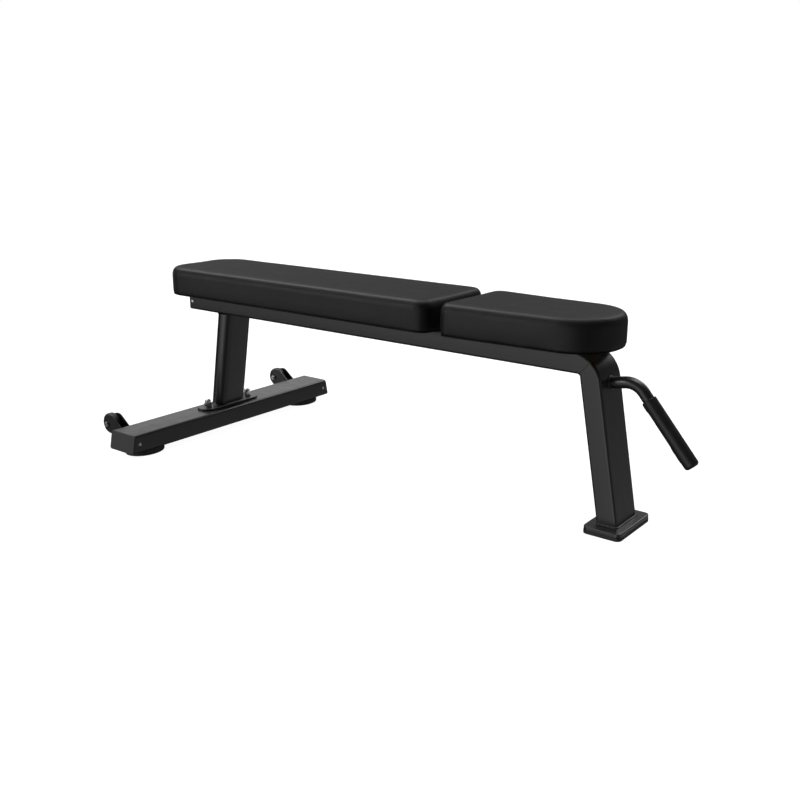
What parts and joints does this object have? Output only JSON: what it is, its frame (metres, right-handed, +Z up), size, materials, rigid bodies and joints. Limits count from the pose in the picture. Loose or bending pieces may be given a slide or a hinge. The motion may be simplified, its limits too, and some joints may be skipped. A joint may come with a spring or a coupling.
{
  "type": "flat weight bench",
  "caption": "Flat weight bench with a long back pad and a short rounded seat pad on a welded tube frame, a wide cross foot with wheels, and a lifting handle.",
  "frame": {"origin": "on the floor, under the middle of the bounding box", "axes": "+X runs along the bench from the wheels towards the handle, +Y across it, +Z up"},
  "size_m": [1.422, 0.6976, 0.43],
  "materials": {
    "powder_coat": "satin black powder coat with a fine texture",
    "vinyl": "matte black upholstery vinyl with a fine grain",
    "rubber": "matte black moulded rubber",
    "grip_rubber": "satin black moulded rubber",
    "wheel_rubber": "dark grey solid rubber, slightly worn tread",
    "black_plastic": "black moulded plastic, fine texture",
    "plywood": "bare birch plywood",
    "zinc_plate": "bright zinc-plated steel",
    "nylon": "natural white nylon"
  },
  "bodies": {
    "frame": {"main_beam": "powder_coat", "front_leg": "powder_coat", "rear_leg": "powder_coat", "rear_leg_plate": "powder_coat", "cross_foot": "powder_coat", "front_foot_plate": "powder_coat", "front_foot_sole": "rubber", "beam_end_cap": "black_plastic", "beam_cap_screw": "zinc_plate", "rear_pad_bracket": "powder_coat", "middle_pad_bracket": "powder_coat", "front_pad_bracket": "powder_coat", "back_pad": "vinyl", "seat_pad": "vinyl", "back_pad_board": "plywood", "seat_pad_board": "plywood", "handle_tube": "powder_coat", "handle_grip": "grip_rubber", "back_pad_screw_1_left": "zinc_plate", "back_pad_screw_1_right": "zinc_plate", "back_pad_screw_2_left": "zinc_plate", "back_pad_screw_2_right": "zinc_plate", "seat_pad_screw_1_left": "zinc_plate", "seat_pad_screw_1_right": "zinc_plate", "seat_pad_screw_2_left": "zinc_plate", "seat_pad_screw_2_right": "zinc_plate", "cross_foot_cap_left": "black_plastic", "cap_screw_left": "zinc_plate", "rubber_foot_left": "rubber", "foot_screw_left": "zinc_plate", "leg_bolt_left": "zinc_plate", "leg_washer_left": "zinc_plate", "leg_nut_left": "zinc_plate", "sole_screw_left": "zinc_plate", "wheel_cheek_outer_left": "powder_coat", "wheel_cheek_inner_left": "powder_coat", "wheel_bush_left": "nylon", "axle_bolt_left": "zinc_plate", "axle_nut_left": "zinc_plate", "cross_foot_cap_right": "black_plastic", "cap_screw_right": "zinc_plate", "rubber_foot_right": "rubber", "foot_screw_right": "zinc_plate", "leg_bolt_right": "zinc_plate", "leg_washer_right": "zinc_plate", "leg_nut_right": "zinc_plate", "sole_screw_right": "zinc_plate", "wheel_cheek_outer_right": "powder_coat", "wheel_cheek_inner_right": "powder_coat", "wheel_bush_right": "nylon", "axle_bolt_right": "zinc_plate", "axle_nut_right": "zinc_plate"},
    "wheel_left_body": {"wheel_left": "wheel_rubber"},
    "wheel_right_body": {"wheel_right": "wheel_rubber"}
  },
  "joints": [
    {"name": "wheel_left_roll", "type": "hinge", "parent": "frame", "child": "wheel_left_body", "pos_m": [-0.6845, -0.294, 0.055], "axis": [0, 1, 0], "continuous": true},
    {"name": "wheel_right_roll", "type": "hinge", "parent": "frame", "child": "wheel_right_body", "pos_m": [-0.6845, 0.294, 0.055], "axis": [0, 1, 0], "continuous": true}
  ]
}
